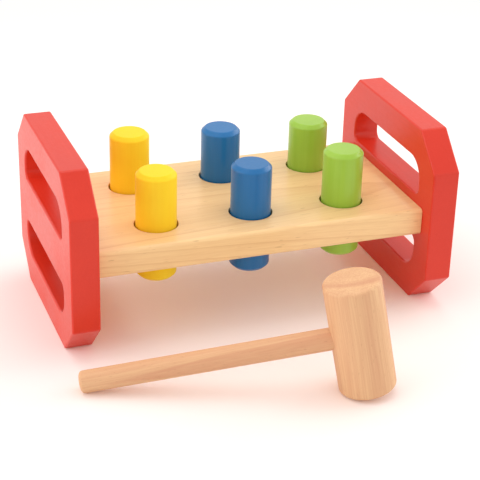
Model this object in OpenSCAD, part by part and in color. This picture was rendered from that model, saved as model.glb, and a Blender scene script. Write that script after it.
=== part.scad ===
// Peg pounding bench with its mallet.
// A drilled board is carried between two end panels. Six pegs stand in its holes, each gripped by a
// rubber ring, and are hammered through to the other side; then the bench is turned over.
// Lengths are in millimetres and angles in degrees. +Z is up, +X runs along the board and -Y is the
// front. The origin is the middle of the whole set's footprint, on the table.

/* [End panels] */
// Height of each end panel
panel_h = 120; // [112:1:140]
// Depth of each end panel, front to back
panel_d = 143; // [134:1:160]
// Thickness of each end panel
panel_t = 18; // [15:0.5:24]
// Length that each cut corner takes off the two edges beside it
panel_corner = 22.5; // [16:0.5:26]
// Radius of the rounded edges of the panel
panel_edge_r = 1.25; // [0.5:0.25:3]

/* [Hand slots] */
// Length of each hand slot, front to back
slot_l = 101.5; // [80:0.5:106]
// Height of each hand slot
slot_h = 23.5; // [20:0.5:26]
// Height of each slot's middle above or below the panel's middle
slot_offset = 26.75; // [25:0.25:30]
// Radius of the slot corners that follow the panel's cut corners
slot_outer_r = 14.5; // [8:0.5:16]
// Radius of the slot corners beside the board
slot_inner_r = 5; // [2:0.5:8]

/* [Board] */
// Length of the board between the panels
board_l = 218; // [205:1:260]
// Depth of the board, front to back
board_d = 120; // [108:1:132]
// Thickness of the board
board_t = 18; // [15:0.5:24]
// Radius of the board's long edges
board_edge_r = 2.5; // [0.5:0.25:5]

/* [Pegs] */
// Diameter of each peg
peg_d = 26; // [22:0.5:30]
// Length of each peg
peg_l = 71.5; // [60:0.5:90]
// Width of the chamfer round each end of a peg
peg_chamfer = 2.5; // [0.5:0.25:4]
// Distance between neighbouring columns of pegs
column_pitch = 63; // [54:1:70]
// Distance between the front and the back row of pegs
row_pitch = 60; // [46:0.5:66]
// How far the middle column of pegs stands to the right of the board's middle
peg_shift = 1.2; // [0:0.1:4]
// Gap all round between a peg and the wall of its hole
hole_gap = 1; // [0.5:0.1:1.5]

/* [Peg heights above the board] */
// Rise of the yellow peg at the back
yellow_back_rise = 38.5; // [10:0.1:44]
// Rise of the yellow peg at the front
yellow_front_rise = 36.2; // [10:0.1:44]
// Rise of the blue peg at the back
blue_back_rise = 35; // [10:0.1:44]
// Rise of the blue peg at the front
blue_front_rise = 33.6; // [10:0.1:44]
// Rise of the green peg at the back
green_back_rise = 33.2; // [10:0.1:44]
// Rise of the green peg at the front
green_front_rise = 36; // [10:0.1:44]

/* [Friction rings] */
// Thickness of a ring's round section
ring_section = 3; // [2:0.25:4]
// Running clearance between a ring and its peg
ring_run = 0.05; // [0.02:0.01:0.1]
// Clearance of a ring in its groove
ring_seat = 0.05; // [0.02:0.01:0.2]

/* [Dowels] */
// Diameter of each dowel
dowel_d = 8; // [6:0.5:10]
// Length of each dowel
dowel_l = 30; // [24:1:36]
// Part of a dowel's length that sits in the panel
dowel_in_panel = 12; // [8:0.5:13]
// Distance between the two dowels of one end
dowel_pitch = 70; // [40:1:96]
// Width of the chamfer at each end of a dowel
dowel_chamfer = 1; // [0.5:0.25:2]
// Radius of the glue flutes along a dowel
flute_r = 0.5; // [0.25:0.05:0.8]
// Number of glue flutes on a dowel
flute_count = 12; // [6:1:16]

/* [Mallet] */
// Diameter of the mallet's head
head_d = 35; // [30:0.5:44]
// Length of the mallet's head
head_l = 72; // [60:1:84]
// Radius of the head's rounded rims
head_edge_r = 2; // [0.5:0.25:4]
// Diameter of the handle
handle_d = 13.6; // [11:0.1:16]
// Length of the handle from the head's axis to its tip
handle_l = 167.5; // [140:0.5:200]
// Radius of the rounded rim at the handle's tip
handle_tip_r = 2.5; // [1:0.25:4]
// How far the handle runs past the head's axis inside its socket
handle_past = 9; // [0:0.5:11]
// Distance of the head from the bench's middle, along the board
mallet_right = 27.5; // [0:0.5:60]
// Distance of the head from the bench's middle, towards the front
mallet_front = 147.5; // [140:0.5:200]
// Direction of the handle, turned from the board's right-hand end
mallet_turn = 163.25; // [150:0.25:190]

/* [Joints] */
// Gap left for glue round a dowel or the handle in its hole
glue_gap = 0.05; // [0.02:0.01:0.2]
// Extra depth of a glued hole past the end of what it holds
hole_end_gap = 0.5; // [0.2:0.1:1]

/* [Hidden] */
$fn = 64;
overrun = 2;

peg_r = peg_d / 2;
hole_r = peg_r + hole_gap;
ring_r = peg_r + ring_run + ring_section / 2;
groove_r = peg_r + ring_run + ring_section + ring_seat;
groove_h = ring_section + 2 * ring_seat;
dowel_r = dowel_d / 2;
head_r = head_d / 2;
handle_r = handle_d / 2;

board_mid = panel_h / 2;
board_top = board_mid + board_t / 2;
bench_l = board_l + 2 * panel_t;
panel_diagonal = (panel_h + panel_d - 2 * panel_corner) / sqrt(2);
panel_span = panel_h + panel_d;

// The mallet stands on its head's lower rim and on the tip of its handle
rim_rise = head_l / 2 - head_edge_r - (handle_r - handle_tip_r);
rim_run = handle_l - handle_tip_r - (head_r - head_edge_r);
mallet_tilt = atan2(rim_rise, rim_run) + asin((head_edge_r - handle_tip_r) / norm([rim_rise, rim_run]));
head_lift = (head_l / 2 - head_edge_r) * cos(mallet_tilt) + (head_r - head_edge_r) * sin(mallet_tilt)
    + head_edge_r;
head_axis = [sin(mallet_tilt) * cos(mallet_turn), sin(mallet_tilt) * sin(mallet_turn)];
handle_axis = [cos(mallet_tilt) * cos(mallet_turn), cos(mallet_tilt) * sin(mallet_turn)];

// The footprint of bench and mallet together, measured from the bench's middle
function reach(half_l, r, edge_r, slope) =
    abs(slope) * (half_l - edge_r) + sqrt(1 - slope * slope) * (r - edge_r) + edge_r;
bench_half = [bench_l, panel_d] / 2;
head_middle = [mallet_right, -mallet_front];
handle_middle = head_middle + handle_axis * handle_l / 2;
head_reach = [for (slope = head_axis) reach(head_l / 2, head_r, head_edge_r, slope)];
handle_reach = [for (slope = handle_axis) reach(handle_l / 2, handle_r, handle_tip_r, slope)];
set_low = [for (i = [0, 1])
    min(-bench_half[i], head_middle[i] - head_reach[i], handle_middle[i] - handle_reach[i])];
set_high = [for (i = [0, 1])
    max(bench_half[i], head_middle[i] + head_reach[i], handle_middle[i] + handle_reach[i])];
set_middle = (set_low + set_high) / 2;

// Columns run from left to right and rows from front to back
LEFT = -1;
MIDDLE = 0;
RIGHT = 1;
FRONT = -1;
BACK = 1;

// Each peg's node, colour, column, row and rise above the board
PEGS = [
    ["yellow_back_peg", "#F6C21E", LEFT, BACK, yellow_back_rise],
    ["yellow_front_peg", "#F6C21E", LEFT, FRONT, yellow_front_rise],
    ["blue_back_peg", "#2F66A6", MIDDLE, BACK, blue_back_rise],
    ["blue_front_peg", "#2F66A6", MIDDLE, FRONT, blue_front_rise],
    ["green_back_peg", "#93B83C", RIGHT, BACK, green_back_rise],
    ["green_front_peg", "#93B83C", RIGHT, FRONT, green_front_rise],
];

// Each friction ring's node, column and row
RINGS = [
    ["left_back_ring", LEFT, BACK],
    ["left_front_ring", LEFT, FRONT],
    ["middle_back_ring", MIDDLE, BACK],
    ["middle_front_ring", MIDDLE, FRONT],
    ["right_back_ring", RIGHT, BACK],
    ["right_front_ring", RIGHT, FRONT],
];

// Each dowel's node, end and row
DOWELS = [
    ["left_back_dowel", LEFT, BACK],
    ["left_front_dowel", LEFT, FRONT],
    ["right_back_dowel", RIGHT, BACK],
    ["right_front_dowel", RIGHT, FRONT],
];

// Places
module at_bench() {
    translate([-set_middle.x, -set_middle.y, 0]) children();
}

module at_hole(column, row) {
    translate([peg_shift + column * column_pitch, row * row_pitch / 2, 0]) children();
}

module at_mallet() {
    translate([head_middle.x - set_middle.x, head_middle.y - set_middle.y, head_lift])
        rotate([0, mallet_tilt, mallet_turn]) children();
}

// Rectangle round the origin with round corners
module round_rectangle(w, h, r) {
    square([w - 2 * r, h], center = true);
    square([w, h - 2 * r], center = true);
    for (x = [-1, 1], y = [-1, 1])
        translate([x * (w / 2 - r), y * (h / 2 - r)]) circle(r);
}

// Slab of the panel's thickness that rounds off two opposite edges, a given width apart
module panel_slab(width) {
    linear_extrude(panel_span, center = true) round_rectangle(panel_t, width, panel_edge_r);
}

// Outline of the upper hand slot, standing on the origin's height: two squares with round corners,
// one that ends at the slot's top and one that starts at its bottom, overlap in it
module slot_outline() {
    intersection() {
        translate([0, slot_h - slot_l / 2]) round_rectangle(slot_l, slot_l, slot_outer_r);
        translate([0, slot_l / 2]) round_rectangle(slot_l, slot_l, slot_inner_r);
    }
}

module hand_slots() {
    for (turn = [0, 180])
        rotate([turn, 0, 0]) translate([-panel_t / 2 - overrun, 0, slot_offset - slot_h / 2])
            rotate([90, 0, 90]) linear_extrude(panel_t + 2 * overrun) slot_outline();
}

// Blind holes for the two dowels of one end, drilled along X from the joint into a piece
module dowel_holes(depth) {
    for (row = [FRONT, BACK])
        translate([-overrun, row * dowel_pitch / 2, 0]) rotate([0, 90, 0])
            cylinder(h = depth + hole_end_gap + overrun, r = dowel_r + glue_gap);
}

// Panel of the right-hand end, round the origin, with its dowel holes to the left
module end_panel() {
    color("#DE3C32") difference() {
        intersection() {
            panel_slab(panel_d);
            rotate([90, 0, 0]) panel_slab(panel_h);
            rotate([45, 0, 0]) panel_slab(panel_diagonal);
            rotate([-45, 0, 0]) panel_slab(panel_diagonal);
        }
        hand_slots();
        translate([-panel_t / 2, 0, 0]) dowel_holes(dowel_in_panel);
    }
}

module left_end_panel() {
    at_bench() translate([-(board_l + panel_t) / 2, 0, board_mid]) mirror([1, 0, 0]) end_panel();
}

module right_end_panel() {
    at_bench() translate([(board_l + panel_t) / 2, 0, board_mid]) end_panel();
}

module board() {
    color("#EBC08A") at_bench() translate([0, 0, board_mid]) difference() {
        rotate([90, 0, 90]) linear_extrude(board_l, center = true)
            round_rectangle(board_d, board_t, board_edge_r);
        for (column = [LEFT, MIDDLE, RIGHT], row = [FRONT, BACK])
            at_hole(column, row) {
                cylinder(h = board_t + 2 * overrun, r = hole_r, center = true);
                cylinder(h = groove_h, r = groove_r, center = true);
            }
        for (turn = [0, 180])
            rotate([0, 0, turn]) translate([-board_l / 2, 0, 0]) dowel_holes(dowel_l - dowel_in_panel);
    }
}

module peg(colour, column, row, rise) {
    color(colour) at_bench() at_hole(column, row) translate([0, 0, board_top + rise - peg_l])
        rotate_extrude() polygon([
            [0, 0],
            [peg_r - peg_chamfer, 0],
            [peg_r, peg_chamfer],
            [peg_r, peg_l - peg_chamfer],
            [peg_r - peg_chamfer, peg_l],
            [0, peg_l],
        ]);
}

module friction_ring(column, row) {
    color("#2B2B2B") at_bench() at_hole(column, row) translate([0, 0, board_mid]) rotate_extrude()
        translate([ring_r, 0]) circle(d = ring_section);
}

// Double cone that chamfers both ends of a dowel
module dowel_cone() {
    rotate_extrude() polygon([
        [0, 0],
        [dowel_r - dowel_chamfer, 0],
        [dowel_r - dowel_chamfer + dowel_l / 2, dowel_l / 2],
        [dowel_r - dowel_chamfer, dowel_l],
        [0, dowel_l],
    ]);
}

module dowel(end, row) {
    color("#D9AE78") at_bench()
        translate([end * (board_l / 2 + dowel_in_panel), row * dowel_pitch / 2, board_mid])
            rotate([0, -90 * end, 0]) intersection() {
                linear_extrude(dowel_l) difference() {
                    circle(dowel_r);
                    for (i = [0 : flute_count - 1])
                        rotate(i * 360 / flute_count) translate([dowel_r, 0]) circle(flute_r);
                }
                dowel_cone();
            }
}

module mallet_head() {
    color("#E3AE7C") at_mallet() difference() {
        rotate_extrude() {
            translate([0, -head_l / 2]) square([head_r - head_edge_r, head_l]);
            translate([0, -(head_l / 2 - head_edge_r)]) square([head_r, head_l - 2 * head_edge_r]);
            for (end = [-1, 1])
                translate([head_r - head_edge_r, end * (head_l / 2 - head_edge_r)]) circle(head_edge_r);
        }
        translate([-(handle_past + hole_end_gap), 0, 0]) rotate([0, 90, 0])
            cylinder(h = handle_past + hole_end_gap + head_r + overrun, r = handle_r + glue_gap);
    }
}

module mallet_handle() {
    rod_l = handle_past + handle_l;
    color("#E0A874") at_mallet() translate([-handle_past, 0, 0]) rotate([0, 90, 0]) rotate_extrude() {
        square([handle_r - handle_tip_r, rod_l]);
        square([handle_r, rod_l - handle_tip_r]);
        translate([handle_r - handle_tip_r, rod_l - handle_tip_r]) circle(handle_tip_r);
    }
}

left_end_panel();
right_end_panel();
board();
for (p = PEGS) peg(p[1], p[2], p[3], p[4]);
for (r = RINGS) friction_ring(r[1], r[2]);
for (d = DOWELS) dowel(d[1], d[2]);
mallet_head();
mallet_handle();
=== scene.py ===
"""Looks of a peg pounding bench: two red end panels, a lacquered board with six painted pegs in its
holes, and a bare beech mallet in front. Lengths are metres, +Z is up and -Y is the front."""

import math

import bmesh
import bpy
from mathutils import Euler, Matrix, Vector


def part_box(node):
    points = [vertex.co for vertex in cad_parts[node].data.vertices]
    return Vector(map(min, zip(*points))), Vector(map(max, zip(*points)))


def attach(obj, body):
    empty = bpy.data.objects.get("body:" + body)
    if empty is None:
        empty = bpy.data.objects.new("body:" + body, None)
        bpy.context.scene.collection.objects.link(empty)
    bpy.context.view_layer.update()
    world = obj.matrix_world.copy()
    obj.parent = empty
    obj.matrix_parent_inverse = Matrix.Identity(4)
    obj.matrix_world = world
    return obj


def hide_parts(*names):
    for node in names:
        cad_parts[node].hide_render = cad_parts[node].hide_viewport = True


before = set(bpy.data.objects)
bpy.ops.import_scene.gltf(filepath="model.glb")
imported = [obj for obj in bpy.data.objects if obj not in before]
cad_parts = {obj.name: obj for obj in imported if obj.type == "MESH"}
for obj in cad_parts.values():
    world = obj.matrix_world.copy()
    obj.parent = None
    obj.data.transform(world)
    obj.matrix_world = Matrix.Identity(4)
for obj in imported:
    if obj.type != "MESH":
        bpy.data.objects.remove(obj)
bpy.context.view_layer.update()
scene = bpy.context.scene
MM = 0.001

# Sizes of the end panels
PANEL_CORNER = 22.5 * MM
PANEL_EDGE = 1.2 * MM
SLOT_LENGTH = 101.5 * MM
SLOT_HEIGHT = 23.5 * MM
SLOT_OFFSET = 26.75 * MM
SLOT_OUTER_RADIUS = 14.5 * MM
SLOT_INNER_RADIUS = 5 * MM

# Sizes of the board
BOARD_EDGE = 2.5 * MM
HOLE_COLUMNS = 3
HOLE_ROWS = 2
HOLE_RADIUS = 14 * MM
HOLE_RIM = 0.45 * MM
GROOVE_RADIUS = 16.1 * MM
GROOVE_HEIGHT = 3.1 * MM

# Sizes of the dowel joints, two at each end of the board
DOWEL_PITCH = 70 * MM
DOWEL_BORE_RADIUS = 4.05 * MM
DOWEL_BORE_LENGTH = 31 * MM
DOWEL_BORE_INSET = 3 * MM

# Sizes of the pegs
PEG_RADIUS = 13 * MM
PEG_LENGTH = 71.5 * MM
PEG_CHAMFER = 2.5 * MM
PEG_RIM = 1.6 * MM

# Sizes of the mallet, with its handle and socket measured from the middle of its head
HEAD_RADIUS = 17.5 * MM
HEAD_LENGTH = 72 * MM
HEAD_RIM = 2 * MM
HANDLE_RADIUS = 6.8 * MM
HANDLE_REACH = 167.5 * MM
HANDLE_PAST = 9 * MM
HANDLE_RIM = 2.5 * MM
SOCKET_RADIUS = 6.85 * MM
SOCKET_PAST = 9.5 * MM
MALLET_TURN = math.radians(163.25)

# Camera: its lens in pixels of the image, its place, and its turns in radians
IMAGE_WIDTH = 480
FOCAL_PIXELS = 1459.242
SENSOR_WIDTH = 36.0
CAMERA_PLACE = Vector((-0.299019, -0.773884, 0.463441))
CAMERA_PITCH = 0.455736
CAMERA_YAW = 0.357782
CAMERA_ROLL = -0.027635

# Fineness of the meshes
TURN_STEPS = 128
ROUND_STEPS = 8
BEVEL_STEPS = 4
SAME_POINT = 0.001 * MM
SHARP_ANGLE = math.radians(50)
BEVEL_ANGLE = math.radians(30)
OVERRUN = 2 * MM

# Cut of a chamfer, as a share of a radius, that a rounding of that radius makes a full quarter round
FULL_ROUND_CUT = 2 - math.sqrt(2)

# Turns of bores, which stand along Z, and of grain, which runs along X
UNTURNED = (0.0, 0.0, 0.0)
BORE_ALONG_X = (0.0, math.pi / 2, 0.0)
GRAIN_ALONG_Y = (0.0, 0.0, math.pi / 2)
GRAIN_ALONG_Z = (0.0, -math.pi / 2, 0.0)

# Values that nearly all of a noise lies between, and its middle
NOISE_LOW = 0.3
NOISE_HIGH = 0.7
NOISE_MIDDLE = (0.5, 0.5, 0.5)


class Writer:
    """Writes nodes into a tree: each call places a node, wires it and gives it or its result back."""

    def __init__(self, tree):
        self.tree = tree
        tree.nodes.clear()

    def add(self, kind, inputs=None, **settings):
        node = self.tree.nodes.new(kind)
        for name, value in settings.items():
            setattr(node, name, value)
        for key, value in (inputs or {}).items():
            self.feed(node.inputs[key], value)
        return node

    def feed(self, socket, value):
        """A node or a socket is wired in, several in a list one after another, and a plain value set."""
        if isinstance(value, list):
            for each in value:
                self.feed(socket, each)
        elif isinstance(value, bpy.types.Node):
            self.tree.links.new(value.outputs[0], socket)
        elif isinstance(value, bpy.types.NodeSocket):
            self.tree.links.new(value, socket)
        else:
            socket.default_value = value

    def math(self, operation, a, b=0.0):
        return self.add("ShaderNodeMath", {0: a, 1: b}, operation=operation)

    def vector(self, x, y, z):
        return self.add("ShaderNodeCombineXYZ", {0: x, 1: y, 2: z})

    def stretch(self, vector, scales):
        return self.add("ShaderNodeVectorMath", {0: vector, 1: scales}, operation="MULTIPLY")

    def length(self, vector):
        return self.add("ShaderNodeVectorMath", {0: vector}, operation="LENGTH").outputs["Value"]

    def per_metre(self, length):
        return self.math("DIVIDE", 1.0, length)

    def noise(self, vector, scale=1.0, detail=2.0):
        return self.add("ShaderNodeTexNoise", {"Vector": vector, "Scale": scale, "Detail": detail})

    def streaks(self, vector, length, width, detail):
        """Noise drawn out along X into marks of this length and width."""
        along = self.per_metre(length)
        over = self.per_metre(width)
        return self.noise(self.stretch(vector, self.vector(along, over, over)), detail=detail)

    def ramp(self, value, low, high, start=0.0, end=1.0):
        """Eases from start to end as the value goes from low to high."""
        wanted = {"Value": value, "From Min": low, "From Max": high, "To Min": start, "To Max": end}
        return self.add("ShaderNodeMapRange", wanted, interpolation_type="SMOOTHSTEP")

    def spread(self, noise, start=0.0, end=1.0):
        """Eases from start to end over the values that a noise has."""
        return self.ramp(noise, NOISE_LOW, NOISE_HIGH, start, end)

    def mix(self, share, a, b):
        """A share of the value a, and the rest of b."""
        return self.math("ADD", self.math("MULTIPLY", a, share), self.math("MULTIPLY", b, 1.0 - share))

    def blend(self, factor, colour_a, colour_b):
        node = self.add("ShaderNodeMix", data_type="RGBA")
        self.feed(node.inputs[0], factor)
        for value, name in ((colour_a, "A_Color"), (colour_b, "B_Color")):
            self.feed(next(s for s in node.inputs if s.identifier == name), value)
        return next(s for s in node.outputs if s.identifier == "Result_Color")


# Shape trees

SOCKETS = {float: "NodeSocketFloat", int: "NodeSocketInt", Vector: "NodeSocketVector"}


def shape_tree(name, sizes, takes_mesh=False):
    """A new shape tree with an input for each named size, and the outputs of its input node."""
    tree = bpy.data.node_groups.new(name, "GeometryNodeTree")
    if takes_mesh:
        tree.interface.new_socket("Mesh", in_out="INPUT", socket_type="NodeSocketGeometry")
    for size, kind in sizes.items():
        tree.interface.new_socket(size, in_out="INPUT", socket_type=SOCKETS[kind])
    tree.interface.new_socket("Finish", in_out="INPUT", socket_type="NodeSocketMaterial")
    tree.interface.new_socket("Mesh", in_out="OUTPUT", socket_type="NodeSocketGeometry")
    write = Writer(tree)
    return write, write.add("NodeGroupInput").outputs


def end_tree(write, mesh, finish):
    """Ends a shape tree in one plain mesh, smooth but for its sharp edges, with its finish on."""
    angle = write.add("GeometryNodeInputMeshEdgeAngle")
    sharp = write.math("GREATER_THAN", angle, SHARP_ANGLE)
    smooth = write.add("GeometryNodeSetShadeSmooth", {"Geometry": mesh})
    crisp = {"Geometry": smooth, "Selection": sharp, "Shade Smooth": False}
    edged = write.add("GeometryNodeSetShadeSmooth", crisp, domain="EDGE")
    whole = write.add("GeometryNodeRealizeInstances", {"Geometry": edged})
    done = write.add("GeometryNodeSetMaterial", {"Geometry": whole, "Material": finish})
    write.add("NodeGroupOutput", {"Mesh": done})
    return write.tree


def turned_tree():
    """A rod turned round the Z axis: its end corners are cut at 45 degrees and the cuts softened."""
    names = ["Radius", "Length", "Chamfer", "Rounding"]
    write, size = shape_tree("turned piece", {name: float for name in names})
    inward = write.math("MULTIPLY", size["Radius"], -1.0)
    top = write.math("MULTIPLY", size["Length"], 0.5)
    bottom = write.math("MULTIPLY", size["Length"], -0.5)
    corners = {
        "Point 1": write.vector(inward, bottom, 0.0),
        "Point 2": write.vector(0.0, bottom, 0.0),
        "Point 3": write.vector(0.0, top, 0.0),
        "Point 4": write.vector(inward, top, 0.0),
    }
    outline = write.add("GeometryNodeCurvePrimitiveQuadrilateral", corners, mode="POINTS")
    half = write.add("GeometryNodeSetSplineCyclic", {"Geometry": outline, "Cyclic": False})
    cut = {"Curve": half, "Count": 1, "Radius": size["Chamfer"]}
    chamfered = write.add("GeometryNodeFilletCurve", cut, mode="POLY")
    soften = {"Curve": chamfered, "Count": ROUND_STEPS, "Radius": size["Rounding"], "Limit Radius": True}
    softened = write.add("GeometryNodeFilletCurve", soften, mode="POLY")
    path = {"Resolution": TURN_STEPS, "Radius": size["Radius"]}
    circle = write.add("GeometryNodeCurvePrimitiveCircle", path)
    skin = write.add("GeometryNodeCurveToMesh", {"Curve": circle, "Profile Curve": softened})
    closed = write.add("GeometryNodeMergeByDistance", {"Geometry": skin, "Distance": SAME_POINT})
    return end_tree(write, closed, size["Finish"])


def panel_tree():
    """An upright octagonal panel round the origin, thin along X, with two hand slots."""
    names = ["Thickness", "Depth", "Height", "Corner", "Slot Length", "Slot Height", "Slot Offset"]
    names += ["Slot Outer Radius", "Slot Inner Radius"]
    write, size = shape_tree("end panel", {name: float for name in names})
    outline = write.add(
        "GeometryNodeCurvePrimitiveQuadrilateral", {"Width": size["Depth"], "Height": size["Height"]}
    )
    cut = {"Curve": outline, "Count": 1, "Radius": size["Corner"]}
    octagon = write.add("GeometryNodeFilletCurve", cut, mode="POLY")
    opening = write.add(
        "GeometryNodeCurvePrimitiveQuadrilateral",
        {"Width": size["Slot Length"], "Height": size["Slot Height"]},
    )
    place = write.add("ShaderNodeSeparateXYZ", {0: write.add("GeometryNodeInputPosition")})
    upper = write.math("GREATER_THAN", place.outputs["Y"], 0.0)
    radius = write.add(
        "GeometryNodeSwitch",
        {"Switch": upper, "False": size["Slot Inner Radius"], "True": size["Slot Outer Radius"]},
        input_type="FLOAT",
    )
    soften = {"Curve": opening, "Count": 2 * ROUND_STEPS, "Radius": radius}
    rounded = write.add("GeometryNodeFilletCurve", soften, mode="POLY")
    raised = write.vector(0.0, size["Slot Offset"], 0.0)
    slot = write.add("GeometryNodeTransform", {"Geometry": rounded, "Translation": raised})
    half_turn = {"Geometry": slot, "Rotation": (0.0, 0.0, math.pi)}
    other_slot = write.add("GeometryNodeTransform", half_turn)
    lines = write.add("GeometryNodeJoinGeometry", {"Geometry": [octagon, slot, other_slot]})
    face = write.add("GeometryNodeFillCurve", {"Curve": lines}, mode="NGONS")
    rise = write.vector(0.0, 0.0, size["Thickness"])
    walls = write.add("GeometryNodeExtrudeMesh", {"Mesh": face, "Offset": rise, "Individual": False})
    back = write.add("GeometryNodeFlipFaces", {"Mesh": face})
    shell = write.add("GeometryNodeJoinGeometry", {"Geometry": [walls, back]})
    closed = write.add("GeometryNodeMergeByDistance", {"Geometry": shell, "Distance": SAME_POINT})
    lower = write.vector(0.0, 0.0, write.math("MULTIPLY", size["Thickness"], -0.5))
    centred = write.add("GeometryNodeTransform", {"Geometry": closed, "Translation": lower})
    stand = {"Geometry": centred, "Rotation": (math.pi / 2, 0.0, math.pi / 2)}
    upright = write.add("GeometryNodeTransform", stand)
    return end_tree(write, upright, size["Finish"])


def bar_tree():
    """A bar along X, round the origin, whose long edges are round."""
    names = ["Length", "Depth", "Thickness", "Edge Radius"]
    write, size = shape_tree("round edged bar", {name: float for name in names})
    outline = write.add(
        "GeometryNodeCurvePrimitiveQuadrilateral", {"Width": size["Depth"], "Height": size["Thickness"]}
    )
    soften = {"Curve": outline, "Count": ROUND_STEPS, "Radius": size["Edge Radius"]}
    section = write.add("GeometryNodeFilletCurve", soften, mode="POLY")
    half = write.math("MULTIPLY", size["Length"], 0.5)
    ends = {
        "Start": write.vector(write.math("MULTIPLY", half, -1.0), 0.0, 0.0),
        "End": write.vector(half, 0.0, 0.0),
    }
    line = write.add("GeometryNodeCurvePrimitiveLine", ends)
    sweep = {"Curve": line, "Profile Curve": section, "Fill Caps": True}
    return end_tree(write, write.add("GeometryNodeCurveToMesh", sweep), size["Finish"])


def bore_tree():
    """Drills round holes into a mesh: a grid of them along X and Y, each turned as its axis says."""
    sizes = {"Middle": Vector, "Columns": int, "Rows": int, "Width": float, "Depth": float}
    sizes.update({"Axis": Vector, "Radius": float, "Length": float})
    write, size = shape_tree("bores", sizes, takes_mesh=True)
    spread = {"Size X": size["Width"], "Size Y": size["Depth"]}
    spread.update({"Vertices X": size["Columns"], "Vertices Y": size["Rows"]})
    grid = write.add("GeometryNodeMeshGrid", spread)
    moved = write.add("GeometryNodeTransform", {"Geometry": grid, "Translation": size["Middle"]})
    drill = {"Vertices": TURN_STEPS, "Radius": size["Radius"], "Depth": size["Length"]}
    cutter = write.add("GeometryNodeMeshCylinder", drill)
    turned = write.add("GeometryNodeTransform", {"Geometry": cutter, "Rotation": size["Axis"]})
    cutters = write.add("GeometryNodeInstanceOnPoints", {"Points": moved, "Instance": turned})
    solid = write.add("GeometryNodeRealizeInstances", {"Geometry": cutters})
    cut = {"Mesh 1": size["Mesh"], "Mesh 2": solid}
    drilled = write.add("GeometryNodeMeshBoolean", cut, operation="DIFFERENCE", solver="EXACT")
    return end_tree(write, drilled, size["Finish"])


TURNED = turned_tree()
PANEL = panel_tree()
BAR = bar_tree()
BORES = bore_tree()


# Making of pieces

def new_piece(name):
    piece = bpy.data.objects.new(name, bpy.data.meshes.new(name))
    scene.collection.objects.link(piece)
    return piece


def shape(piece, tree, finish, **sizes):
    """Lets a shape tree work on a piece: slot_length, for one, sets the tree's input Slot Length."""
    step = piece.modifiers.new(tree.name, "NODES")
    step.node_group = tree
    values = {name.replace("_", " ").title(): value for name, value in sizes.items()}
    values["Finish"] = finish
    for socket in tree.interface.items_tree:
        if socket.in_out == "INPUT" and socket.name in values:
            step[socket.identifier] = values[socket.name]


def settle(piece):
    """Turns what a piece's modifiers make into its own plain mesh."""
    graph = bpy.context.evaluated_depsgraph_get()
    seen = piece.evaluated_get(graph)
    mesh = bpy.data.meshes.new_from_object(seen, preserve_all_data_layers=True, depsgraph=graph)
    piece.modifiers.clear()
    blank = piece.data
    piece.data = mesh
    bpy.data.meshes.remove(blank)
    mesh.name = piece.name


def face_outwards(piece):
    """Closes the seams of a piece's mesh and turns its faces outwards."""
    work = bmesh.new()
    work.from_mesh(piece.data)
    bmesh.ops.remove_doubles(work, verts=work.verts, dist=SAME_POINT)
    bmesh.ops.recalc_face_normals(work, faces=work.faces)
    work.to_mesh(piece.data)
    work.free()


def soften_edges(piece, width):
    step = piece.modifiers.new("soft edges", "BEVEL")
    step.width = width
    step.segments = BEVEL_STEPS
    step.limit_method = "ANGLE"
    step.angle_limit = BEVEL_ANGLE
    step.use_clamp_overlap = False
    step.loop_slide = False


def even_shading(piece):
    """Keeps large faces looking flat right up to their rounded edges."""
    step = piece.modifiers.new("even shading", "WEIGHTED_NORMAL")
    step.keep_sharp = True


def middle_of(node):
    low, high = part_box(node)
    return (low + high) / 2


def size_of(node):
    low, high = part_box(node)
    return high - low


def hand_over(piece, body, node):
    """A finished piece rides on its body, and the solid that it stands in for is hidden."""
    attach(piece, body)
    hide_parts(node)


board_middle = middle_of("board")
board_size = size_of("board")
head_middle = middle_of("mallet_head")

# The mallet lies on the round rims of its head and of its handle's end, so its handle slopes down
rim_rise = HEAD_LENGTH / 2 - HEAD_RIM - (HANDLE_RADIUS - HANDLE_RIM)
rim_run = HANDLE_REACH - HANDLE_RIM - (HEAD_RADIUS - HEAD_RIM)
rim_slope = math.asin((HEAD_RIM - HANDLE_RIM) / math.hypot(rim_rise, rim_run))
mallet_tilt = math.atan2(rim_rise, rim_run) + rim_slope
mallet_turn = Euler((0.0, mallet_tilt, MALLET_TURN)).to_matrix()
mallet_place = Matrix.Translation(head_middle) @ mallet_turn.to_4x4()


# Shared looks

def look_group(name, inputs, outputs):
    """A new shader group with float inputs and outputs by name, and a Vector to read places from."""
    tree = bpy.data.node_groups.new(name, "ShaderNodeTree")
    tree.interface.new_socket("Vector", in_out="INPUT", socket_type="NodeSocketVector")
    for label, value in inputs.items():
        socket = tree.interface.new_socket(label, in_out="INPUT", socket_type="NodeSocketFloat")
        socket.default_value = value
    for label in outputs:
        tree.interface.new_socket(label, in_out="OUTPUT", socket_type="NodeSocketFloat")
    write = Writer(tree)
    return write, write.add("NodeGroupInput").outputs


# Wander of the grain per metre, along and across it
DRIFT = (4.0, 14.0, 14.0)
# Share of a ring's width at which its dark edge starts to fade, and the strength of the faintest ring
RING_EDGE = 0.93
FAINTEST_RING = 0.35
# Range of the noise over which a fleck fades in
FLECK_FADE = 0.06


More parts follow.
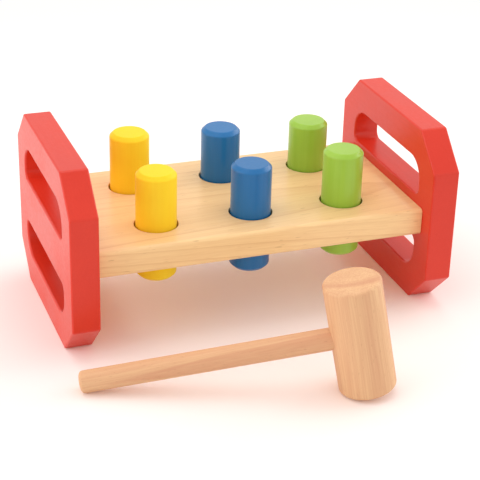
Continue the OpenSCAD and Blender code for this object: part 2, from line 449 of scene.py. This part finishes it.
def wood_figure():
    """Growth rings, fibres, bands and flecks of wood that grew along X, with its pith on the X axis.

    A year's ring darkens towards its outer edge, and one broad ring of heartwood lies at its own radius.
    """
    write, size = look_group(
        "wood figure",
        {"Ring Spacing": 5 * MM, "Ring Sharpness": 2.2, "Ring Start": 0.0, "Bend": 6 * MM,
         "Heart Radius": 0.0, "Heart Width": 3 * MM,
         "Fibre Width": 0.7 * MM, "Fibre Length": 40 * MM,
         "Band Width": 9 * MM, "Band Length": 150 * MM,
         "Fleck Width": 0.8 * MM, "Fleck Length": 6 * MM, "Fleck Limit": 0.75},
        ["Rings", "Heart", "Fibres", "Bands", "Flecks"],
    )
    drift = write.noise(write.stretch(size["Vector"], DRIFT), detail=1.0).outputs["Color"]
    centred = write.add("ShaderNodeVectorMath", {0: drift, 1: NOISE_MIDDLE}, operation="SUBTRACT")
    bend = write.add("ShaderNodeVectorMath", {0: centred, "Scale": size["Bend"]}, operation="SCALE")
    bent = write.add("ShaderNodeVectorMath", {0: size["Vector"], 1: bend})
    radius = write.length(write.stretch(bent, (0.0, 1.0, 1.0)))
    years = write.math("ADD", write.math("DIVIDE", radius, size["Ring Spacing"]), size["Ring Start"])
    phase = write.math("FRACT", years)
    darkening = write.math("POWER", phase, size["Ring Sharpness"])
    growth = write.math("MULTIPLY", darkening, write.ramp(phase, RING_EDGE, 1.0, 1.0, 0.0))
    year = write.add("ShaderNodeTexWhiteNoise", {"W": write.math("FLOOR", years)}, noise_dimensions="1D")
    rings = write.math("MULTIPLY", growth, write.ramp(year, 0.0, 1.0, FAINTEST_RING, 1.0))
    from_heart = write.math("ABSOLUTE", write.math("SUBTRACT", radius, size["Heart Radius"]))
    heart = write.ramp(from_heart, 0.0, size["Heart Width"], 1.0, 0.0)
    fibres = write.streaks(bent, size["Fibre Length"], size["Fibre Width"], 3.0)
    bands = write.streaks(bent, size["Band Length"], size["Band Width"], 1.0)
    spots = write.streaks(bent, size["Fleck Length"], size["Fleck Width"], 0.0)
    fleck_full = write.math("ADD", size["Fleck Limit"], FLECK_FADE)
    flecks = write.ramp(spots, size["Fleck Limit"], fleck_full)
    made = {"Rings": rings, "Heart": heart, "Fibres": fibres, "Bands": bands, "Flecks": flecks}
    write.add("NodeGroupOutput", made)
    return write.tree


# What a film of paint shows of its clouds, and of the grain under it
CLOUDS_IN_TONE = 0.7
CLOUDS_IN_GLOSS = 0.6
GRAIN_IN_HEIGHT = 0.6


def paint_film():
    """A sprayed film of paint: broad changes of tone, fine orange peel and the grain showing through."""
    write, size = look_group(
        "paint film",
        {"Peel Size": 2.2 * MM, "Grain Width": 1.2 * MM, "Grain Length": 60 * MM, "Cloud Size": 45 * MM},
        ["Tone", "Gloss", "Height"],
    )
    peel = write.noise(size["Vector"], write.per_metre(size["Peel Size"]), detail=1.0)
    clouds = write.noise(size["Vector"], write.per_metre(size["Cloud Size"]), detail=3.0)
    grain = write.streaks(size["Vector"], size["Grain Length"], size["Grain Width"], 2.0)
    made = {
        "Tone": write.mix(CLOUDS_IN_TONE, clouds, grain),
        "Gloss": write.mix(CLOUDS_IN_GLOSS, clouds, peel),
        "Height": write.mix(GRAIN_IN_HEIGHT, grain, peel),
    }
    write.add("NodeGroupOutput", made)
    return write.tree


WOOD_FIGURE = wood_figure()
PAINT_FILM = paint_film()


# Materials

def rgb(red, green, blue):
    return (red, green, blue, 1.0)


def new_material(name):
    material = bpy.data.materials.new(name)
    material.use_nodes = True
    return material, Writer(material.node_tree)


def place_in_grain(write, middle, turn):
    """Coordinates of the surface seen from a grain frame that has this middle and turn."""
    where = write.add("ShaderNodeTexCoord").outputs["Object"]
    moved = {"Vector": where, "Location": middle, "Rotation": turn}
    return write.add("ShaderNodeMapping", moved, vector_type="TEXTURE")


def surface(write, base, roughness, height, relief, coat=0.0, coat_roughness=0.03, specular=0.5):
    """The material's shader: colour, roughness and bump change over the surface, the rest is plain."""
    bump = write.add("ShaderNodeBump", {"Height": height, "Strength": 1.0, "Distance": relief})
    shader = write.add("ShaderNodeBsdfPrincipled", {
        "Base Color": base, "Roughness": roughness, "Normal": bump,
        "Coat Weight": coat, "Coat Roughness": coat_roughness, "Specular IOR Level": specular,
    })
    write.add("ShaderNodeOutputMaterial", {"Surface": shader})


# Paints

PAINT_TONES = (0.25, 0.75)
PAINT_ROUGHNESS = (0.30, 0.40)
PAINT_RELIEF = 0.05 * MM
PAINT_COAT_ROUGHNESS = 0.14


def paint(name, deep, bright, grain_turn, coat=0.15, specular=0.35):
    """Paint that clouds between a deep and a bright colour, over wood whose grain shows through."""
    material, write = new_material(name)
    where = place_in_grain(write, UNTURNED, grain_turn)
    film = write.add("ShaderNodeGroup", {"Vector": where}, node_tree=PAINT_FILM).outputs
    base = write.blend(write.ramp(film["Tone"], *PAINT_TONES), deep, bright)
    roughness = write.spread(film["Gloss"], *PAINT_ROUGHNESS)
    surface(write, base, roughness, film["Height"], PAINT_RELIEF,
            coat=coat, coat_roughness=PAINT_COAT_ROUGHNESS, specular=specular)
    return material


RED = paint(
    "red paint", rgb(0.66, 0.029, 0.011), rgb(0.72, 0.038, 0.016), GRAIN_ALONG_Y,
    coat=0.06, specular=0.36,
)
YELLOW = paint(
    "yellow paint", rgb(0.97, 0.63, 0.028), rgb(0.99, 0.71, 0.036), GRAIN_ALONG_Z,
    coat=0.0, specular=0.06,
)
BLUE = paint("blue paint", rgb(0.006, 0.132, 0.358), rgb(0.009, 0.153, 0.410), GRAIN_ALONG_Z)
GREEN = paint("green paint", rgb(0.30, 0.51, 0.042), rgb(0.35, 0.57, 0.060), GRAIN_ALONG_Z)
PEG_PAINTS = {"yellow": YELLOW, "blue": BLUE, "green": GREEN}


# Woods

MAPLE = {"pale": rgb(0.96, 0.645, 0.315), "brown": rgb(0.68, 0.34, 0.14), "dark": rgb(0.36, 0.14, 0.05)}
BEECH = {"pale": rgb(0.81, 0.50, 0.260), "pink": rgb(0.62, 0.27, 0.148), "dark": rgb(0.44, 0.18, 0.09)}
LACQUER_ROUGHNESS = (0.28, 0.40)
LACQUER_RELIEF = 0.03 * MM
BARE_ROUGHNESS = (0.53, 0.65)
BARE_RELIEF = 0.05 * MM
DOWEL_ROUGHNESS = (0.55, 0.67)

# Where the pith of each tree lay, and how far the grain of its piece is out of true
BOARD_PITH = board_middle + Vector((0.0, -22 * MM, -60 * MM))
BOARD_GRAIN = (0.0, math.radians(1.5), math.radians(4.0))
PITH_BEARING = math.radians(20.5)
PITH_SIDE = Vector((math.sin(PITH_BEARING), math.cos(PITH_BEARING), 0.0))
HEAD_PITH = head_middle + 40 * MM * PITH_SIDE
HEAD_GRAIN = (mallet_turn @ Euler(GRAIN_ALONG_Z).to_matrix()).to_euler()
HANDLE_PITH = head_middle - 22 * MM * PITH_SIDE
HANDLE_GRAIN = (mallet_turn @ Matrix.Rotation(math.radians(2.2), 3, "Z")).to_euler()


def wood(name, colours, pith, grain_turn, figure, shares, roughness, relief, **finish):
    """Wood of a pale ground, with shares of the darker colours laid over it where its figure says."""
    material, write = new_material(name)
    where = place_in_grain(write, pith, grain_turn)
    grain = write.add("ShaderNodeGroup", {"Vector": where, **figure}, node_tree=WOOD_FIGURE).outputs
    masks = {label: grain[label] for label in ("Rings", "Heart", "Flecks")}
    masks["Fibres"] = write.spread(grain["Fibres"])
    masks["Bands"] = write.spread(grain["Bands"])
    base = colours["pale"]
    for label, (share, colour) in shares.items():
        base = write.blend(write.math("MULTIPLY", masks[label], share), base, colours[colour])
    surface(write, base, write.spread(grain["Fibres"], *roughness), grain["Fibres"], relief, **finish)
    return material


BOARD_WOOD = wood(
    "lacquered board", MAPLE, BOARD_PITH, BOARD_GRAIN,
    figure={"Ring Spacing": 3.6 * MM, "Ring Sharpness": 4.0, "Bend": 7 * MM,
            "Fibre Width": 0.9 * MM, "Fibre Length": 70 * MM,
            "Fleck Width": 0.8 * MM, "Fleck Length": 9 * MM, "Fleck Limit": 0.77},
    shares={"Rings": (0.55, "brown"), "Fibres": (0.16, "brown"), "Bands": (0.14, "brown"),
            "Flecks": (0.35, "dark")},
    roughness=LACQUER_ROUGHNESS, relief=LACQUER_RELIEF, coat=0.15, coat_roughness=0.15, specular=0.4,
)
HEAD_WOOD = wood(
    "beech head", BEECH, HEAD_PITH, HEAD_GRAIN,
    figure={"Ring Spacing": 2.6 * MM, "Ring Sharpness": 1.6, "Bend": 5 * MM,
            "Heart Radius": 45 * MM, "Heart Width": 4.5 * MM,
            "Fibre Width": 0.9 * MM, "Fibre Length": 50 * MM, "Band Width": 9 * MM,
            "Fleck Width": 0.5 * MM, "Fleck Length": 3 * MM, "Fleck Limit": 0.74},
    shares={"Rings": (0.24, "pink"), "Fibres": (0.42, "pink"), "Bands": (0.32, "pink"),
            "Heart": (0.6, "pink"), "Flecks": (0.25, "dark")},
    roughness=BARE_ROUGHNESS, relief=BARE_RELIEF,
)
HANDLE_WOOD = wood(
    "beech handle", BEECH, HANDLE_PITH, HANDLE_GRAIN,
    figure={"Ring Spacing": 14 * MM, "Ring Sharpness": 1.5, "Ring Start": 2.48, "Bend": 3 * MM,
            "Fibre Width": 0.7 * MM, "Fibre Length": 60 * MM,
            "Fleck Width": 0.5 * MM, "Fleck Length": 3 * MM, "Fleck Limit": 0.74},
    shares={"Rings": (0.7, "pink"), "Fibres": (0.42, "pink"), "Bands": (0.32, "pink"),
            "Flecks": (0.3, "dark")},
    roughness=BARE_ROUGHNESS, relief=BARE_RELIEF,
)
DOWEL_WOOD = wood(
    "dowel wood", BEECH, board_middle, UNTURNED,
    figure={"Ring Spacing": 3 * MM},
    shares={"Rings": (0.4, "pink"), "Fibres": (0.3, "pink")},
    roughness=DOWEL_ROUGHNESS, relief=BARE_RELIEF,
)


# Rubber

RUBBER_BLACK = rgb(0.012, 0.012, 0.012)
RUBBER_BLOOM = rgb(0.030, 0.029, 0.028)
RUBBER_ROUGHNESS = (0.55, 0.75)
RUBBER_RELIEF = 0.03 * MM
BLOOMS_PER_METRE = 300.0
PORES_PER_METRE = 2500.0


def rubber():
    material, write = new_material("ring rubber")
    where = write.add("ShaderNodeTexCoord").outputs["Object"]
    bloom = write.noise(where, BLOOMS_PER_METRE, detail=3.0)
    pores = write.noise(where, PORES_PER_METRE, detail=1.0)
    base = write.blend(bloom, RUBBER_BLACK, RUBBER_BLOOM)
    surface(write, base, write.spread(bloom, *RUBBER_ROUGHNESS), pores, RUBBER_RELIEF)
    return material


RUBBER = rubber()


# End panels

def dowel_bores(piece, finish):
    """Drills the dowels' bores, half in the board and half in the panels at its ends."""
    spread = board_size.x - 2 * DOWEL_BORE_INSET
    shape(piece, BORES, finish, middle=board_middle, columns=2, rows=2, width=spread, depth=DOWEL_PITCH,
          axis=BORE_ALONG_X, radius=DOWEL_BORE_RADIUS, length=DOWEL_BORE_LENGTH)


def end_panel(side):
    node = f"{side}_end_panel"
    size = size_of(node)
    piece = new_piece(f"{side}_red_panel")
    shape(piece, PANEL, RED, thickness=size.x, depth=size.y, height=size.z, corner=PANEL_CORNER,
          slot_length=SLOT_LENGTH, slot_height=SLOT_HEIGHT, slot_offset=SLOT_OFFSET,
          slot_outer_radius=SLOT_OUTER_RADIUS, slot_inner_radius=SLOT_INNER_RADIUS)
    settle(piece)
    face_outwards(piece)
    piece.data.transform(Matrix.Translation(middle_of(node)))
    soften_edges(piece, PANEL_EDGE)
    dowel_bores(piece, RED)
    even_shading(piece)
    settle(piece)
    hand_over(piece, "bench", node)


for side in ("left", "right"):
    end_panel(side)


# Board

first_peg = middle_of("yellow_front_peg")
last_peg = middle_of("green_back_peg")
holes_middle = (first_peg + last_peg) / 2
holes_middle.z = board_middle.z


def peg_bores(piece, radius, length):
    reach = last_peg - first_peg
    shape(piece, BORES, BOARD_WOOD, middle=holes_middle, columns=HOLE_COLUMNS, rows=HOLE_ROWS,
          width=reach.x, depth=reach.y, axis=UNTURNED, radius=radius, length=length)


def drilled_board():
    piece = new_piece("drilled_board")
    shape(piece, BAR, BOARD_WOOD, length=board_size.x, depth=board_size.y, thickness=board_size.z,
          edge_radius=BOARD_EDGE)
    settle(piece)
    face_outwards(piece)
    piece.data.transform(Matrix.Translation(board_middle))
    peg_bores(piece, HOLE_RADIUS, board_size.z + 2 * OVERRUN)
    soften_edges(piece, HOLE_RIM)
    peg_bores(piece, GROOVE_RADIUS, GROOVE_HEIGHT)
    dowel_bores(piece, BOARD_WOOD)
    even_shading(piece)
    settle(piece)
    hand_over(piece, "bench", "board")


drilled_board()


# Pegs

def turned_piece(name, finish, place, **sizes):
    """A turned rod of the given sizes at its place, still without its last shading."""
    piece = new_piece(name)
    shape(piece, TURNED, finish, **sizes)
    settle(piece)
    face_outwards(piece)
    piece.data.transform(place)
    return piece


def finish_turning(piece):
    even_shading(piece)
    settle(piece)


def painted_peg(colour, row):
    node = f"{colour}_{row}_peg"
    place = Matrix.Translation(middle_of(node))
    peg = turned_piece(f"{colour}_painted_peg_{row}", PEG_PAINTS[colour], place, radius=PEG_RADIUS,
                       length=PEG_LENGTH, chamfer=PEG_CHAMFER, rounding=PEG_RIM)
    finish_turning(peg)
    hand_over(peg, node, node)


for colour in PEG_PAINTS:
    for row in ("back", "front"):
        painted_peg(colour, row)


# Mallet

def mallet_head():
    """The head is drilled while it stands at the origin, and then laid in its place."""
    head = turned_piece("beech_head", HEAD_WOOD, Matrix(), radius=HEAD_RADIUS, length=HEAD_LENGTH,
                        chamfer=HEAD_RIM * FULL_ROUND_CUT, rounding=HEAD_RIM)
    depth = SOCKET_PAST + HEAD_RADIUS + OVERRUN
    shape(head, BORES, HEAD_WOOD, middle=(depth / 2 - SOCKET_PAST, 0.0, 0.0), columns=1, rows=1,
          width=0.0, depth=0.0, axis=BORE_ALONG_X, radius=SOCKET_RADIUS, length=depth)
    finish_turning(head)
    head.data.transform(mallet_place)
    hand_over(head, "mallet", "mallet_head")


def mallet_handle():
    lie_down = Matrix.Rotation(math.pi / 2, 4, "Y")
    along = Matrix.Translation(((HANDLE_REACH - HANDLE_PAST) / 2, 0.0, 0.0))
    handle = turned_piece("beech_handle", HANDLE_WOOD, mallet_place @ along @ lie_down,
                          radius=HANDLE_RADIUS, length=HANDLE_PAST + HANDLE_REACH,
                          chamfer=HANDLE_RIM * FULL_ROUND_CUT, rounding=HANDLE_RIM)
    finish_turning(handle)
    hand_over(handle, "mallet", "mallet_handle")


mallet_head()
mallet_handle()


# Hidden parts, which keep their own solids
for name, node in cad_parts.items():
    for ending, finish in (("_ring", RUBBER), ("_dowel", DOWEL_WOOD)):
        if name.endswith(ending):
            for slot in node.material_slots:
                slot.material = finish


# Camera

lens = bpy.data.cameras.new("camera")
lens.sensor_width = SENSOR_WIDTH
lens.lens = SENSOR_WIDTH * FOCAL_PIXELS / IMAGE_WIDTH
camera = bpy.data.objects.new("camera", lens)
scene.collection.objects.link(camera)
camera.matrix_world = (
    Matrix.Translation(CAMERA_PLACE)
    @ Matrix.Rotation(-CAMERA_YAW, 4, "Z")
    @ Matrix.Rotation(math.pi / 2 - CAMERA_PITCH, 4, "X")
    @ Matrix.Rotation(-CAMERA_ROLL, 4, "Z")
)
scene.camera = camera


# Light and floor

LAMP_TARGET = Vector((0.0, 0.0, 0.06))
LAMP_WHITE = (1.0, 0.99, 0.97)
LAMPS = {
    "overhead_softbox": {"place": (-0.05, 0.26, 1.22), "size": (1.4, 1.1), "watts": 4.7},
    "left_softbox": {"place": (-1.35, 0.0, 0.50), "size": (1.4, 0.9), "watts": 7.6},
    "right_softbox": {"place": (1.35, 0.20, 0.65), "size": (1.4, 1.0), "watts": 8.8},
    "front_softbox": {"place": (0.85, -1.05, 0.60), "size": (1.2, 1.0), "watts": 1.2},
}

# The white that the room shows, and the light that it sends out
ROOM_WHITE = rgb(1.0, 1.0, 0.98)
ROOM_LIGHT = rgb(1.0, 0.985, 0.955)
ROOM_STRENGTH = 0.80

# The floor's paper, a painted warm glow in its shadows, and the distances between which it fades to
# white
FLOOR_REACH = 6.0
FLOOR_PALE = rgb(0.92, 0.92, 0.92)
FLOOR_TOOTH = rgb(0.9062, 0.9062, 0.9062)
TEETH_PER_METRE = 900.0
FLOOR_SHADOW_GLOW = rgb(0.13, 0.02, 0.0)
FADE_START = 0.35
FADE_END = 0.80


def softbox(name, place, size, watts):
    light = bpy.data.lights.new(name, "AREA")
    light.shape = "RECTANGLE"
    light.size, light.size_y = size
    light.energy = watts
    light.color = LAMP_WHITE
    lamp = bpy.data.objects.new(name, light)
    scene.collection.objects.link(lamp)
    lamp.location = place
    lamp.rotation_euler = (LAMP_TARGET - Vector(place)).to_track_quat("-Z", "Y").to_euler()


def shown_rays(write):
    """1 for rays that come from the camera, a reflection or a view through, and 0 for other light."""
    path = write.add("ShaderNodeLightPath").outputs
    shown = write.math("MAXIMUM", path["Is Camera Ray"], path["Is Glossy Ray"])
    return write.math("MAXIMUM", shown, path["Is Transmission Ray"])


def white_room():
    world = bpy.data.worlds.new("white room")
    scene.world = world
    world.use_nodes = True
    write = Writer(world.node_tree)
    light = write.add("ShaderNodeBackground", {"Color": ROOM_LIGHT, "Strength": ROOM_STRENGTH})
    seen = write.add("ShaderNodeBackground", {"Color": ROOM_WHITE, "Strength": 1.0})
    room = write.add("ShaderNodeMixShader", {0: shown_rays(write), 1: light, 2: seen})
    write.add("ShaderNodeOutputWorld", {"Surface": room})


def floor_paper():
    """Pale paper that takes shadows near the toy and fades into the white room further out."""
    material, write = new_material("paper floor")
    where = write.add("ShaderNodeTexCoord").outputs["Object"]
    tooth = write.noise(where, TEETH_PER_METRE)
    matt = write.add("ShaderNodeBsdfDiffuse", {"Color": write.blend(tooth, FLOOR_PALE, FLOOR_TOOTH)})
    shown = shown_rays(write)
    # Painted warm glow, seen only by the camera and in reflections: it warms the floor's shadows and is
    # lost in the white of the open floor
    shadow_glow = write.add("ShaderNodeEmission", {"Color": FLOOR_SHADOW_GLOW, "Strength": shown})
    paper = write.add("ShaderNodeAddShader", {0: matt, 1: shadow_glow})
    far = write.ramp(write.length(where), FADE_START, FADE_END)
    white = write.add("ShaderNodeEmission", {"Color": ROOM_WHITE, "Strength": 1.0})
    faded = write.add("ShaderNodeMixShader", {0: write.math("MULTIPLY", far, shown), 1: paper, 2: white})
    write.add("ShaderNodeOutputMaterial", {"Surface": faded})
    return material


def paper_floor():
    floor = new_piece("paper_floor")
    low, high = -FLOOR_REACH, FLOOR_REACH
    corners = [(low, low, 0.0), (high, low, 0.0), (high, high, 0.0), (low, high, 0.0)]
    floor.data.from_pydata(corners, [], [(0, 1, 2, 3)])
    floor.data.materials.append(floor_paper())


for name, lamp in LAMPS.items():
    softbox(name, **lamp)
white_room()
paper_floor()
scene.view_settings.view_transform = "Standard"
